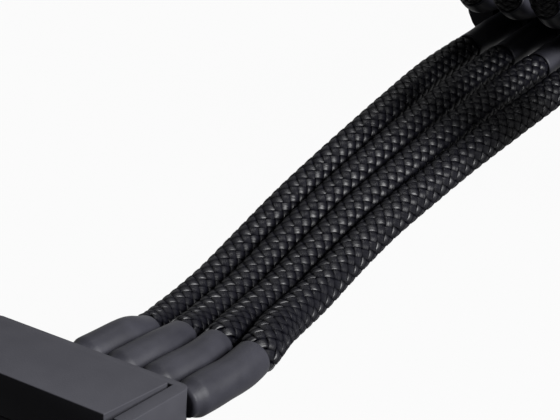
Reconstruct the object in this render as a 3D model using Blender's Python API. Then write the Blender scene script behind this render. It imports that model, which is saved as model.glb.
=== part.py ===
"""Drive power splitter cable: one four-pin power plug feeding two flat rows of sleeved wires,
each row ending in a right-angle drive power connector.

The plug lies flat on the ground with its mating end towards +Y and its wires leaving towards -Y.
Row A runs out behind the plug and row B humps over to the +X side, and each drive connector
leans on the rear edge of its nose. The origin is the middle of the plug's flat underside.
Units are metres.
"""

import math
from collections import namedtuple

import bmesh
import bpy
from mathutils import Euler, Matrix, Vector

MM = 0.001
CLEARANCE = 0.3 * MM
JOIN_OVERLAP = 0.2 * MM

# Wires and heat-shrink
WIRES = 4
SLEEVE_DIAMETER = 3.4 * MM
SHRINK_DIAMETER = 3.5 * MM
PLUG_SHRINK_LENGTH = 9.8 * MM
DRIVE_SHRINK_LENGTH = 9.0 * MM
TUBE_POINT_STEP = 7.0 * MM
TUBE_END_STEP = 0.8 * MM
SHRINK_POINT_STEP = 3.0 * MM
TUBE_BEVEL_RESOLUTION = 2

# Four-pin plug
PLUG_PITCH = 5.08 * MM
PLUG_CAVITY_MARGIN = 3.08 * MM
PLUG_SIDE_WALL = 3.0 * MM
PLUG_CAVITY_WIDTH = (WIRES - 1) * PLUG_PITCH + 2 * PLUG_CAVITY_MARGIN
PLUG_WIDTH = PLUG_CAVITY_WIDTH + 2 * PLUG_SIDE_WALL
PLUG_LENGTH = 25.0 * MM
PLUG_HEIGHT = 12.0 * MM
PLUG_SIDE_RADIUS = 5.4 * MM
PLUG_CAVITY_HEIGHT = 8.9 * MM
PLUG_CAVITY_DEPTH = 16.0 * MM
PLUG_CAVITY_CHAMFER = 2.2 * MM
PLUG_WALL_THICKNESS = 2.5 * MM
WIRE_HOLE_WIDTH = 4.3 * MM
WIRE_HOLE_HEIGHT = 8.6 * MM
WIRE_ROW_SPACING = 4.2 * MM
SHRINK_INSERTION = 3.0 * MM
GRIP_GROOVES = 4
GRIP_GROOVE_WIDTH = 1.0 * MM
GRIP_GROOVE_DEPTH = 0.6 * MM
GRIP_GROOVE_SPACING = 2.1 * MM
GRIP_GROOVE_START = 3.2 * MM

# Plug pins
PIN_DIAMETER = 2.1 * MM
PIN_RECESS = 6.0 * MM
PIN_TIP_LENGTH = 1.2 * MM
PIN_COLLAR_DIAMETER = 3.3 * MM
PIN_COLLAR_LENGTH = 1.0 * MM
PIN_BARREL_DIAMETER = 2.7 * MM
PIN_SIDES = 16

# Drive connector, in its own frame: X along the contacts, wires leave along +Y, nose points to -Z,
# and the frame's origin is at the middle of the contacts, on the cap's top rear edge
DRIVE_PITCH = 3.81 * MM
DRIVE_POSITIONS = 5
DRIVE_HEIGHT = 13.0 * MM
DRIVE_TILT = math.radians(12.2)
WIRE_SHIFT = 1.27 * MM
WIRE_DEPTH = 1.5 * MM
BASE_WIDTH = 24.4 * MM
BASE_HEIGHT = 3.2 * MM
BASE_INSET = 0.4 * MM
CAP_DEPTH = 8.1 * MM
CAP_HEIGHT = 3.9 * MM
CAP_CORNER_RADIUS = 0.9 * MM
CAP_END_MARGIN = 0.5 * MM
CAP_WALL = 1.2 * MM
CAP_ROOF = 1.8 * MM
CAP_GROOVE_REAR_WIDTH = 0.5 * MM
CAP_GROOVE_FRONT_WIDTH = 1.0 * MM
CAP_GROOVE_DEPTH = 1.2 * MM
CAP_GROOVE_STOP = 0.8 * MM
CAP_GROOVE_INSET = 1.4 * MM
LATCH_WIDTH = 3.4 * MM
LATCH_THICKNESS = 0.9 * MM
LATCH_TOP = 1.9 * MM
LATCH_REACH = 2.8 * MM
SHOULDER_HEIGHT = 1.1 * MM
LEDGE_REACH = 1.3 * MM
LEDGE_THICKNESS = 1.3 * MM
LEDGE_MARGIN = 0.8 * MM
NOSE_WIDTH = 22.6 * MM
NOSE_THICKNESS = 5.6 * MM
NOSE_CORNER_RADIUS = 0.6 * MM
NOSE_REAR_INSET = 1.3 * MM
SLOT_LENGTH = 20.7 * MM
SLOT_WIDTH = 2.4 * MM
SLOT_DEPTH = 5.4 * MM
SLOT_REAR_WALL = 1.5 * MM
KEY_LENGTH = 1.6 * MM
KEY_WIDTH = 1.1 * MM

# Contacts of the drive connector: a fork above and three fingers below one stamped plate
CONTACT_THICKNESS = 0.3 * MM
FINGER_PITCH = 1.27 * MM
FINGER_WIDTH = 0.7 * MM
FINGER_END_GAP = 1.0 * MM
FORK_WIDTH = 2.2 * MM
FORK_SLOT_WIDTH = 0.9 * MM
FORK_SLOT_DEPTH = 1.0 * MM

ARC_STEPS = 6

# One place along a row's route: its middle, how far its wires stand apart, and how far the outer
# wire of the turn is banked upwards. The first and last places come from the connectors.
Station = namedtuple("Station", "x y z pitch bank")

ROUTE_A = [
    Station(0.0, -19.0, 4.0, 5.00, 1.0),
    Station(0.0, -25.0, 4.1, 4.90, 1.5),
    Station(0.0, -31.0, 4.2, 4.80, 2.3),
    Station(0.5, -39.0, 4.4, 4.42, 3.5),
    Station(1.0, -47.0, 4.5, 4.12, 3.1),
    Station(1.4, -55.0, 4.3, 3.98, 1.1),
    Station(1.9, -62.6, 4.1, 3.90, -1.9),
    Station(2.9, -70.6, 3.9, 3.86, -4.7),
    Station(4.6, -78.5, 4.4, 3.84, -6.1),
    Station(6.8, -86.4, 6.1, 3.82, -5.7),
]
ROUTE_B = [
    Station(0.0, -18.5, 9.5, 5.1, 2),
    Station(1.0, -22.5, 13.0, 5.0, 14),
    Station(3.0, -26.0, 17.5, 4.9, 30),
    Station(6.5, -29.0, 22.0, 4.7, 38),
    Station(11.5, -31.0, 25.0, 4.6, 34),
    Station(17.5, -32.0, 26.0, 4.4, 24),
    Station(23.0, -32.0, 24.5, 4.3, 12),
    Station(28.5, -32.0, 21.0, 4.1, 4),
    Station(33.5, -32.0, 16.5, 4.0, 0),
    Station(38.5, -32.0, 12.0, 3.9, 0),
    Station(44.0, -32.0, 9.5, 3.8, 0),
]
DRIVE_A_PLACE = (7.4 * MM, -102.1 * MM)
DRIVE_A_YAW = math.radians(3.7)
DRIVE_B_PLACE = (58.0 * MM, -35.4 * MM)
DRIVE_B_YAW = math.radians(90.0)
PLUG_STRAIGHT = 1.0 * MM
EXIT_STRAIGHT = 8.0 * MM
ROUTE_SAMPLES = 240

BLACK_PLASTIC = ("black_nylon", (0.022, 0.022, 0.025), 0.55, 0.0)
BLACK_SLEEVE = ("black_braid", (0.018, 0.018, 0.021), 0.75, 0.0)
BLACK_SHRINK = ("black_heat_shrink", (0.030, 0.030, 0.033), 0.50, 0.0)
TINNED_BRASS = ("tinned_brass", (0.72, 0.69, 0.62), 0.30, 1.0)


def clear_scene():
    """Removes the objects that a new Blender file starts with."""
    for item in list(bpy.data.objects):
        bpy.data.objects.remove(item, do_unlink=True)


def make_material(spec):
    """Returns the Principled material of a (name, colour, roughness, metallic) description."""
    name, colour, roughness, metallic = spec
    material = bpy.data.materials.get(name)
    if material is None:
        material = bpy.data.materials.new(name)
        material.use_nodes = True
        shader = material.node_tree.nodes["Principled BSDF"]
        shader.inputs["Base Color"].default_value = (*colour, 1.0)
        shader.inputs["Roughness"].default_value = roughness
        shader.inputs["Metallic"].default_value = metallic
    return material


def add_object(name, data, spec=None, parent=None):
    """Links a new object, with its material and its parent frame."""
    item = bpy.data.objects.new(name, data)
    bpy.context.scene.collection.objects.link(item)
    item.parent = parent
    if spec is not None:
        data.materials.append(make_material(spec))
    return item


def add_frame(name, matrix):
    """Links an empty that carries a connector's own frame."""
    frame = bpy.data.objects.new(name, None)
    bpy.context.scene.collection.objects.link(frame)
    frame.matrix_world = matrix
    return frame


def rounded_rectangle(width, height, radius, steps=ARC_STEPS):
    """Outline of a rectangle round its centre, counter-clockwise, with arcs at its corners."""
    points = []
    for quarter, (sign_x, sign_y) in enumerate(((1, 1), (-1, 1), (-1, -1), (1, -1))):
        centre_x = sign_x * (width / 2 - radius)
        centre_y = sign_y * (height / 2 - radius)
        for step in range(steps + 1):
            angle = math.radians(90 * (quarter + step / steps))
            points.append((centre_x + radius * math.cos(angle), centre_y + radius * math.sin(angle)))
    return points


def rectangle(low_x, low_y, high_x, high_y):
    """Outline of a plain rectangle, counter-clockwise."""
    return [(low_x, low_y), (high_x, low_y), (high_x, high_y), (low_x, high_y)]


def place_point(axis, across, up, along):
    """Point of an outline that is extruded along Y or Z, seen so that it stays counter-clockwise."""
    if axis == "Y":
        return Vector((across, along, up))
    return Vector((across, up, along))


def prism_mesh(name, outline, axis, start, end):
    """Closed mesh of an outline extruded along an axis from start to end."""
    mesh = bpy.data.meshes.new(name)
    shape = bmesh.new()
    lower = [shape.verts.new(place_point(axis, x, y, start)) for x, y in outline]
    upper = [shape.verts.new(place_point(axis, x, y, end)) for x, y in outline]
    shape.faces.new(lower)
    shape.faces.new(upper)
    for index in range(len(outline)):
        following = (index + 1) % len(outline)
        shape.faces.new((lower[index], lower[following], upper[following], upper[index]))
    bmesh.ops.recalc_face_normals(shape, faces=shape.faces)
    shape.to_mesh(mesh)
    shape.free()
    return mesh


def apply_boolean(item, cutter, operation):
    """Adds an exact Boolean with a hidden helper object to an item."""
    cutter.hide_render = True
    cutter.display_type = "WIRE"
    modifier = item.modifiers.new(cutter.name, "BOOLEAN")
    modifier.operation = operation
    modifier.solver = "EXACT"
    modifier.object = cutter


def add_prism(item, name, outline, axis, start, end, operation):
    """Cuts a prism from an item, or joins one to it, in the item's own frame."""
    label = f"{item.name}_{name}"
    helper = add_object(label, prism_mesh(label, outline, axis, start, end), parent=item.parent)
    apply_boolean(item, helper, operation)


def turned_mesh(name, profile, sides):
    """Closed mesh of a (radius, height) profile turned about Y, with a pole at each end."""
    mesh = bpy.data.meshes.new(name)
    shape = bmesh.new()
    rings = []
    for radius, height in profile[1:-1]:
        ring = []
        for side in range(sides):
            angle = 2 * math.pi * side / sides
            ring.append(shape.verts.new((radius * math.cos(angle), height, radius * math.sin(angle))))
        rings.append(ring)
    first = shape.verts.new((0, profile[0][1], 0))
    last = shape.verts.new((0, profile[-1][1], 0))
    for side in range(sides):
        following = (side + 1) % sides
        shape.faces.new((first, rings[0][side], rings[0][following]))
        shape.faces.new((last, rings[-1][following], rings[-1][side]))
        for lower, upper in zip(rings, rings[1:]):
            shape.faces.new((lower[side], upper[side], upper[following], lower[following]))
    bmesh.ops.recalc_face_normals(shape, faces=shape.faces)
    shape.to_mesh(mesh)
    shape.free()
    mesh.shade_smooth()
    mesh.set_sharp_from_angle(angle=math.radians(40))
    return mesh


def row_offsets(pitch, count):
    """Distances of a row's members from its middle."""
    return [pitch * (index - (count - 1) / 2) for index in range(count)]


def build_plug():
    """Four-pin plug: a shell open at the front, a wall that holds the pins, and wire holes behind."""
    front = PLUG_LENGTH / 2
    rear = -PLUG_LENGTH / 2
    middle = PLUG_HEIGHT / 2
    frame = add_frame("plug_frame", Matrix.Translation((0, 0, middle)))
    outline = rounded_rectangle(PLUG_WIDTH, PLUG_HEIGHT, PLUG_SIDE_RADIUS)
    mesh = prism_mesh("plug_housing", outline, "Y", rear, front)
    housing = add_object("plug_housing", mesh, BLACK_PLASTIC, frame)

    half_width = PLUG_CAVITY_WIDTH / 2
    half_height = PLUG_CAVITY_HEIGHT / 2
    cavity = [
        (-half_width, -half_height),
        (half_width, -half_height),
        (half_width, half_height - PLUG_CAVITY_CHAMFER),
        (half_width - PLUG_CAVITY_CHAMFER, half_height),
        (PLUG_CAVITY_CHAMFER - half_width, half_height),
        (-half_width, half_height - PLUG_CAVITY_CHAMFER),
    ]
    floor = front - PLUG_CAVITY_DEPTH
    add_prism(housing, "cavity", cavity, "Y", floor, front + MM, "DIFFERENCE")

    wall_rear = floor - PLUG_WALL_THICKNESS
    hole = rounded_rectangle(WIRE_HOLE_WIDTH, WIRE_HOLE_HEIGHT, WIRE_HOLE_WIDTH / 2)
    bore_diameter = PIN_DIAMETER + 2 * CLEARANCE
    bore = rounded_rectangle(bore_diameter, bore_diameter, bore_diameter / 2, 4)
    for number, offset in enumerate(row_offsets(PLUG_PITCH, WIRES), 1):
        moved_hole = [(x + offset, y) for x, y in hole]
        moved_bore = [(x + offset, y) for x, y in bore]
        add_prism(housing, f"hole_{number}", moved_hole, "Y", rear - MM, wall_rear, "DIFFERENCE")
        add_prism(housing, f"bore_{number}", moved_bore, "Y", wall_rear - MM, floor + MM, "DIFFERENCE")

    for side in (-1, 1):
        for groove in range(GRIP_GROOVES):
            start = rear + GRIP_GROOVE_START + groove * GRIP_GROOVE_SPACING
            edge = PLUG_WIDTH / 2 - GRIP_GROOVE_DEPTH
            low_x, high_x = sorted((side * edge, side * (edge + 2 * GRIP_GROOVE_DEPTH)))
            groove_outline = rectangle(low_x, -middle, high_x, middle)
            label = f"groove_{'left' if side < 0 else 'right'}_{groove}"
            add_prism(housing, label, groove_outline, "Y", start, start + GRIP_GROOVE_WIDTH, "DIFFERENCE")

    build_plug_pins(frame, front, wall_rear)


def build_plug_pins(frame, front, wall_rear):
    """Turned pins that stand in the shell, with a collar behind the wall and a crimp barrel."""
    tip = front - PIN_RECESS
    barrel_end = -PLUG_LENGTH / 2 + SHRINK_INSERTION + CLEARANCE
    collar_front = wall_rear - CLEARANCE
    collar_rear = collar_front - PIN_COLLAR_LENGTH
    radius = PIN_DIAMETER / 2
    profile = [
        (0, tip),
        (radius * 0.5, tip - PIN_TIP_LENGTH * 0.12),
        (radius * 0.85, tip - PIN_TIP_LENGTH * 0.45),
        (radius, tip - PIN_TIP_LENGTH),
        (radius, collar_front),
        (PIN_COLLAR_DIAMETER / 2, collar_front),
        (PIN_COLLAR_DIAMETER / 2, collar_rear),
        (PIN_BARREL_DIAMETER / 2, collar_rear),
        (PIN_BARREL_DIAMETER / 2, barrel_end),
        (0, barrel_end),
    ]
    mesh = turned_mesh("plug_pin", profile, PIN_SIDES)
    mesh.materials.append(make_material(TINNED_BRASS))
    for number, offset in enumerate(row_offsets(PLUG_PITCH, WIRES), 1):
        pin = add_object(f"plug_pin_{number}", mesh, parent=frame)
        pin.location = (offset, 0, 0)


def contact_positions():
    """Middles of the four contacts along a drive connector, whose first position stays blank."""
    return row_offsets(DRIVE_PITCH, DRIVE_POSITIONS)[DRIVE_POSITIONS - WIRES:]


def wire_positions():
    """Places of the four wires behind a drive connector, each beside its contact's middle."""
    return [position + WIRE_SHIFT for position in contact_positions()]


def drive_matrix(place, yaw):
    """Frame of a drive connector that leans on the rear edge of its nose on the ground."""
    turn = Euler((-DRIVE_TILT, 0, yaw)).to_matrix().to_4x4()
    height = DRIVE_HEIGHT * math.cos(DRIVE_TILT) - NOSE_REAR_INSET * math.sin(DRIVE_TILT)
    return Matrix.Translation((*place, height)) @ turn


def build_drive_connector(name, matrix):
    """Right-angle drive connector: a housing with a slotted nose, a cap with a latch, and contacts."""
    frame = add_frame(f"{name}_frame", matrix)
    nose_rear = -NOSE_REAR_INSET
    nose_front = nose_rear - NOSE_THICKNESS
    base_top = -CAP_HEIGHT - CLEARANCE
    base_bottom = base_top - BASE_HEIGHT
    nose_tip = -DRIVE_HEIGHT
    cap_end = wire_positions()[-1] + CAP_END_MARGIN

    base = rounded_rectangle(BASE_WIDTH, CAP_DEPTH - 2 * BASE_INSET, CAP_CORNER_RADIUS, 3)
    base = [(x, y - CAP_DEPTH / 2) for x, y in base]
    mesh = prism_mesh(f"{name}_housing", base, "Z", base_bottom, base_top)
    housing = add_object(f"{name}_housing", mesh, BLACK_PLASTIC, frame)

    nose = rounded_rectangle(NOSE_WIDTH, NOSE_THICKNESS, NOSE_CORNER_RADIUS, 3)
    nose = [(x, y + (nose_front + nose_rear) / 2) for x, y in nose]
    add_prism(housing, "nose", nose, "Z", nose_tip, base_bottom + JOIN_OVERLAP, "UNION")
    ledge_left = wire_positions()[0] - LEDGE_MARGIN
    ledge_right = wire_positions()[-1] + LEDGE_MARGIN
    ledge = rectangle(ledge_left, -BASE_INSET - MM, ledge_right, LEDGE_REACH)
    add_prism(housing, "ledge", ledge, "Z", base_top - LEDGE_THICKNESS, base_top - CLEARANCE, "UNION")
    shoulder_low = cap_end + CLEARANCE
    shoulder_high = BASE_WIDTH / 2 - CAP_CORNER_RADIUS / 2
    shoulder = rectangle(shoulder_low, MM - CAP_DEPTH, shoulder_high, -MM)
    add_prism(
        housing, "shoulder", shoulder, "Z", base_top - JOIN_OVERLAP, base_top + SHOULDER_HEIGHT, "UNION"
    )

    slot_rear = nose_rear - SLOT_REAR_WALL
    slot_front = slot_rear - SLOT_WIDTH
    slot_roof = nose_tip + SLOT_DEPTH
    slot = [
        (-SLOT_LENGTH / 2, slot_front),
        (SLOT_LENGTH / 2, slot_front),
        (SLOT_LENGTH / 2, slot_rear),
        (-SLOT_LENGTH / 2 + KEY_LENGTH, slot_rear),
        (-SLOT_LENGTH / 2 + KEY_LENGTH, slot_rear + KEY_WIDTH),
        (-SLOT_LENGTH / 2, slot_rear + KEY_WIDTH),
    ]
    add_prism(housing, "slot", slot, "Z", nose_tip - MM, slot_roof, "DIFFERENCE")

    contact_y = slot_rear - CLEARANCE - CONTACT_THICKNESS
    pocket_half = FINGER_PITCH + FINGER_WIDTH / 2 + CLEARANCE
    outline = contact_outline(nose_tip, base_top)
    for number, position in enumerate(contact_positions(), 1):
        pocket = rectangle(
            position - pocket_half, contact_y - CLEARANCE, position + pocket_half, slot_rear
        )
        add_prism(housing, f"pocket_{number}", pocket, "Z", slot_roof - MM, base_top + MM, "DIFFERENCE")
        node = f"{name}_contact_{number}"
        moved = [(x + position, z) for x, z in outline]
        mesh = prism_mesh(node, moved, "Y", contact_y, contact_y + CONTACT_THICKNESS)
        add_object(node, mesh, TINNED_BRASS, frame)
    build_cap(name, frame, cap_end)


def build_cap(name, frame, cap_end):
    """Cap that presses the wires on the contacts, with a grooved top and a latch at its left end."""
    left = -BASE_WIDTH / 2
    outline = rounded_rectangle(cap_end - left, CAP_DEPTH, CAP_CORNER_RADIUS, 4)
    outline = [(x + (cap_end + left) / 2, y - CAP_DEPTH / 2) for x, y in outline]
    mesh = prism_mesh(f"{name}_cap", outline, "Z", -CAP_HEIGHT, 0)
    cap = add_object(f"{name}_cap", mesh, BLACK_PLASTIC, frame)

    trough_half = FORK_WIDTH / 2 + CLEARANCE
    trough_left = contact_positions()[0] - trough_half
    trough_right = contact_positions()[-1] + trough_half
    trough = rectangle(trough_left, CAP_WALL - CAP_DEPTH, trough_right, -CAP_WALL)
    add_prism(cap, "trough", trough, "Z", -CAP_HEIGHT - MM, -CAP_ROOF, "DIFFERENCE")

    groove_x = cap_end - CAP_GROOVE_INSET
    groove = [
        (groove_x - CAP_GROOVE_REAR_WIDTH, -CAP_GROOVE_STOP),
        (groove_x - CAP_GROOVE_FRONT_WIDTH, -CAP_DEPTH - MM),
        (groove_x, -CAP_DEPTH - MM),
        (groove_x, -CAP_GROOVE_STOP),
    ]
    add_prism(cap, "groove", groove, "Z", -CAP_GROOVE_DEPTH, MM, "DIFFERENCE")

    arm_inner = left - CLEARANCE
    arm_outer = arm_inner - LATCH_THICKNESS
    latch = [
        (arm_outer, -CAP_HEIGHT - LATCH_REACH),
        (arm_inner, -CAP_HEIGHT - LATCH_REACH),
        (arm_inner, -CAP_HEIGHT),
        (left + JOIN_OVERLAP, -CAP_HEIGHT),
        (left + JOIN_OVERLAP, -LATCH_TOP),
        (arm_outer, -LATCH_TOP),
    ]
    front = -CAP_DEPTH / 2 - LATCH_WIDTH / 2
    add_prism(cap, "latch", latch, "Y", front, front + LATCH_WIDTH, "UNION")


def contact_outline(nose_tip, base_top):
    """Outline of one stamped contact: three fingers down, a two-pronged fork up."""
    finger_end = nose_tip + FINGER_END_GAP
    plate_bottom = nose_tip + SLOT_DEPTH + CLEARANCE
    fork_root = base_top
    fork_top = -CAP_ROOF - CLEARANCE
    fingers = [-FINGER_PITCH, 0.0, FINGER_PITCH]
    half = FINGER_WIDTH / 2
    outline = []
    for index, middle in enumerate(fingers):
        if index:
            outline.append((middle - half, plate_bottom))
        outline.append((middle - half, finger_end))
        outline.append((middle + half, finger_end))
        if index < len(fingers) - 1:
            outline.append((middle + half, plate_bottom))
    plate_half = FINGER_PITCH + half
    outline.append((plate_half, fork_root))
    outline.append((FORK_WIDTH / 2, fork_root))
    outline.append((FORK_WIDTH / 2, fork_top))
    outline.append((FORK_SLOT_WIDTH / 2, fork_top))
    outline.append((FORK_SLOT_WIDTH / 2, fork_top - FORK_SLOT_DEPTH))
    outline.append((-FORK_SLOT_WIDTH / 2, fork_top - FORK_SLOT_DEPTH))
    outline.append((-FORK_SLOT_WIDTH / 2, fork_top))
    outline.append((-FORK_WIDTH / 2, fork_top))
    outline.append((-FORK_WIDTH / 2, fork_root))
    outline.append((-plate_half, fork_root))
    return outline


def blend_four(values, places, place):
    """Catmull-Rom value between the second and third of four values that lie at given places."""
    first, second, third, fourth = values
    span = places[2] - places[1]
    share = (place - places[1]) / span
    slope_in = (third - first) * (span / (places[2] - places[0]))
    slope_out = (fourth - second) * (span / (places[3] - places[1]))
    square = share * share
    cube = square * share
    return (
        second * (2 * cube - 3 * square + 1)
        + slope_in * (cube - 2 * square + share)
        + third * (3 * square - 2 * cube)
        + slope_out * (cube - square)
    )


def route_stations(route, row_height, matrix):
    """Full list of a row's places, from inside the plug's holes to the drive connector's rear face."""
    inside = -PLUG_LENGTH / 2 + SHRINK_INSERTION
    stations = []
    for y in (inside, -PLUG_LENGTH / 2, -PLUG_LENGTH / 2 - PLUG_STRAIGHT):
        stations.append((Vector((0, y, row_height)), PLUG_PITCH, 0.0))
    for place in route:
        centre = Vector((place.x, place.y, place.z)) * MM
        stations.append((centre, place.pitch * MM, math.radians(place.bank)))
    middle = sum(wire_positions()) / WIRES
    for distance in (EXIT_STRAIGHT, CLEARANCE):
        stations.append((matrix @ Vector((middle, distance, -WIRE_DEPTH)), DRIVE_PITCH, 0.0))
    return stations


def line_lengths(points):
    """Distance of each point of a line from its first."""
    lengths = [0.0]
    for before, after in zip(points, points[1:]):
        lengths.append(lengths[-1] + (after - before).length)
    return lengths


def row_curves(stations):
    """Finely sampled middle line of each of a row's four wires."""
    padded = [stations[0]] + stations + [stations[-1]]
    places = line_lengths([station[0] for station in padded])
    samples = []
    span = 1
    for index in range(ROUTE_SAMPLES + 1):
        place = places[-1] * index / ROUTE_SAMPLES
        while span < len(stations) - 1 and places[span + 1] < place:
            span += 1
        near = slice(span - 1, span + 3)
        samples.append([
            blend_four([station[part] for station in padded[near]], places[near], place)
            for part in range(3)
        ])
    wires = [[] for _ in range(WIRES)]
    for index, (centre, pitch, bank) in enumerate(samples):
        before = samples[max(index - 1, 0)][0]
        after = samples[min(index + 1, ROUTE_SAMPLES)][0]
        heading = (after - before).normalized()
        level = Vector((0, 0, 1)).cross(heading).normalized()
        upward = heading.cross(level)
        across = level * math.cos(bank) - upward * math.sin(bank)
        for wire, offset in zip(wires, row_offsets(pitch, WIRES)):
            wire.append(centre + across * offset)
    return wires


def stretch(points, start, end, step):
    """Points of a tube between two distances along a line, with its end faces square to the line."""
    lengths = line_lengths(points)
    inner_start = start + TUBE_END_STEP
    inner_end = end - TUBE_END_STEP
    spans = max(1, math.ceil((inner_end - inner_start) / step))
    wanted = [inner_start + (inner_end - inner_start) * span / spans for span in range(spans + 1)]
    result = []
    index = 0
    for distance in [start, *wanted, end]:
        while index < len(points) - 2 and lengths[index + 1] < distance:
            index += 1
        share = (distance - lengths[index]) / (lengths[index + 1] - lengths[index])
        result.append(points[index].lerp(points[index + 1], share))
    return result


def add_tube(name, points, diameter, spec):
    """Round tube along points, as a bevelled curve with filled caps."""
    curve = bpy.data.curves.new(name, "CURVE")
    curve.dimensions = "3D"
    curve.bevel_depth = diameter / 2
    curve.bevel_resolution = TUBE_BEVEL_RESOLUTION
    curve.resolution_u = 1
    curve.use_fill_caps = True
    spline = curve.splines.new("POLY")
    spline.points.add(len(points) - 1)
    for slot, point in zip(spline.points, points):
        slot.co = (*point, 1.0)
    return add_object(name, curve, spec)


def build_row(name, route, row_height, matrix):
    """Row of four sleeved wires, each between a heat-shrink at the plug and one at the connector."""
    near_end = SHRINK_INSERTION + PLUG_SHRINK_LENGTH
    for number, points in enumerate(row_curves(route_stations(route, row_height, matrix)), 1):
        total = line_lengths(points)[-1]
        far_start = total - DRIVE_SHRINK_LENGTH
        at_plug = stretch(points, 0.0, near_end, SHRINK_POINT_STEP)
        sleeved = stretch(points, near_end + CLEARANCE, far_start - CLEARANCE, TUBE_POINT_STEP)
        at_drive = stretch(points, far_start, total, SHRINK_POINT_STEP)
        add_tube(f"row_{name}_plug_shrink_{number}", at_plug, SHRINK_DIAMETER, BLACK_SHRINK)
        add_tube(f"row_{name}_sleeved_wire_{number}", sleeved, SLEEVE_DIAMETER, BLACK_SLEEVE)
        add_tube(f"row_{name}_drive_shrink_{number}", at_drive, SHRINK_DIAMETER, BLACK_SHRINK)


def main():
    """Builds the plug, the two drive connectors and the two rows of wires."""
    clear_scene()
    build_plug()
    drive_a = drive_matrix(DRIVE_A_PLACE, DRIVE_A_YAW)
    drive_b = drive_matrix(DRIVE_B_PLACE, DRIVE_B_YAW)
    build_drive_connector("drive_a", drive_a)
    build_drive_connector("drive_b", drive_b)
    middle = PLUG_HEIGHT / 2
    build_row("a", ROUTE_A, middle - WIRE_ROW_SPACING / 2, drive_a)
    build_row("b", ROUTE_B, middle + WIRE_ROW_SPACING / 2, drive_b)
    bpy.context.view_layer.update()


main()
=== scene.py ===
"""Looks of a short drive power splitter cable: woven sleeves, heat-shrink and moulded connectors.

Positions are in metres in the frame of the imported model: the origin is the middle of the plug's
flat underside, +Y is the plug's mating direction and the ground is at z = 0.
"""

import logging
import math
import random
from dataclasses import dataclass, field
from enum import Enum
from typing import Any, NamedTuple

import bmesh
import bpy
from mathutils import Euler, Matrix, Vector


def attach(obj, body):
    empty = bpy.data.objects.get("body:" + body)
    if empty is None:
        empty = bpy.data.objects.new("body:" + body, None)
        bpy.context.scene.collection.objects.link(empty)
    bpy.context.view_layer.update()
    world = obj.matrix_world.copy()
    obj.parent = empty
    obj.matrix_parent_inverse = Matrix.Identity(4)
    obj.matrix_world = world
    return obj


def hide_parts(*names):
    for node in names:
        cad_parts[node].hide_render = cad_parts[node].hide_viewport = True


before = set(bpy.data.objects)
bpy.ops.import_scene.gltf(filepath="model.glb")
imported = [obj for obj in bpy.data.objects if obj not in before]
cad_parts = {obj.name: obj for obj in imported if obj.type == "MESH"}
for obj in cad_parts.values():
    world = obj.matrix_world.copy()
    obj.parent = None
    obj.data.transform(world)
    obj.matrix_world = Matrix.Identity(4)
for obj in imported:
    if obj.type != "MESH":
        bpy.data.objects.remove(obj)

MM = 0.001
WHITE = (1.0, 1.0, 1.0, 1.0)
LOG = logging.getLogger("splitter_cable")


class Station(NamedTuple):
    """One place along a row's route, in millimetres and degrees.

    The pitch is how far its wires stand apart, and the bank how far wire 1 is raised.
    """

    x: float
    y: float
    z: float
    pitch: float
    bank: float


ROUTE_A = [
    Station(0.0, -19.0, 4.0, 5.00, 1.0),
    Station(0.0, -25.0, 4.1, 4.90, 1.5),
    Station(0.0, -31.0, 4.2, 4.80, 2.3),
    Station(0.5, -39.0, 4.4, 4.42, 3.5),
    Station(1.0, -47.0, 4.5, 4.12, 3.1),
    Station(1.4, -55.0, 4.3, 3.98, 1.1),
    Station(1.9, -62.6, 4.1, 3.90, -1.9),
    Station(2.9, -70.6, 3.9, 3.86, -4.7),
    Station(4.6, -78.5, 4.4, 3.84, -6.1),
    Station(6.8, -86.4, 6.1, 3.82, -5.7),
]
ROUTE_B = [
    Station(0.0, -18.5, 9.5, 5.1, 2),
    Station(1.0, -22.5, 13.0, 5.0, 14),
    Station(3.0, -26.0, 17.5, 4.9, 30),
    Station(6.5, -29.0, 22.0, 4.7, 38),
    Station(11.5, -31.0, 25.0, 4.6, 34),
    Station(17.5, -32.0, 26.0, 4.4, 24),
    Station(23.0, -32.0, 24.5, 4.3, 12),
    Station(28.5, -32.0, 21.0, 4.1, 4),
    Station(33.5, -32.0, 16.5, 4.0, 0),
    Station(38.5, -32.0, 12.0, 3.9, 0),
    Station(44.0, -32.0, 9.5, 3.8, 0),
]


class Hand(Enum):
    """Turning sense of a braid's carriers round the sleeve."""

    RIGHT = 1.0
    LEFT = -1.0


class Slot(Enum):
    """Names of the material slots for the shown pieces."""

    PLASTIC = "black_nylon"
    BRAID = "black_braid"
    SHRINK = "black_heat_shrink"


def colour(code: str) -> tuple[float, float, float, float]:
    """Turns an sRGB hex colour into linear values.

    Args:
        code: Six hex digits after a hash sign.

    Returns:
        Red, green, blue and an alpha of 1.
    """
    parts = [int(code[index:index + 2], 16) / 255 for index in (1, 3, 5)]
    linear = [
        part / 12.92 if part <= 0.04045 else ((part + 0.055) / 1.055) ** 2.4 for part in parts
    ]
    return (linear[0], linear[1], linear[2], 1.0)


def add_node(
    tree: bpy.types.NodeTree, kind: str, inputs: dict[int | str, Any] | None = None, **settings: Any
) -> bpy.types.Node:
    """Adds a node to a tree, with its settings, its values and its links.

    Args:
        tree: The shader or geometry tree.
        kind: The node's type name.
        inputs: For an input's name or number, its value or the socket that it is linked from.
        **settings: Properties of the node.

    Returns:
        The new node.
    """
    node = tree.nodes.new(kind)
    for name, value in settings.items():
        setattr(node, name, value)
    for key, value in (inputs or {}).items():
        if isinstance(value, bpy.types.NodeSocket):
            tree.links.new(value, node.inputs[key])
        else:
            node.inputs[key].default_value = value
    return node


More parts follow.
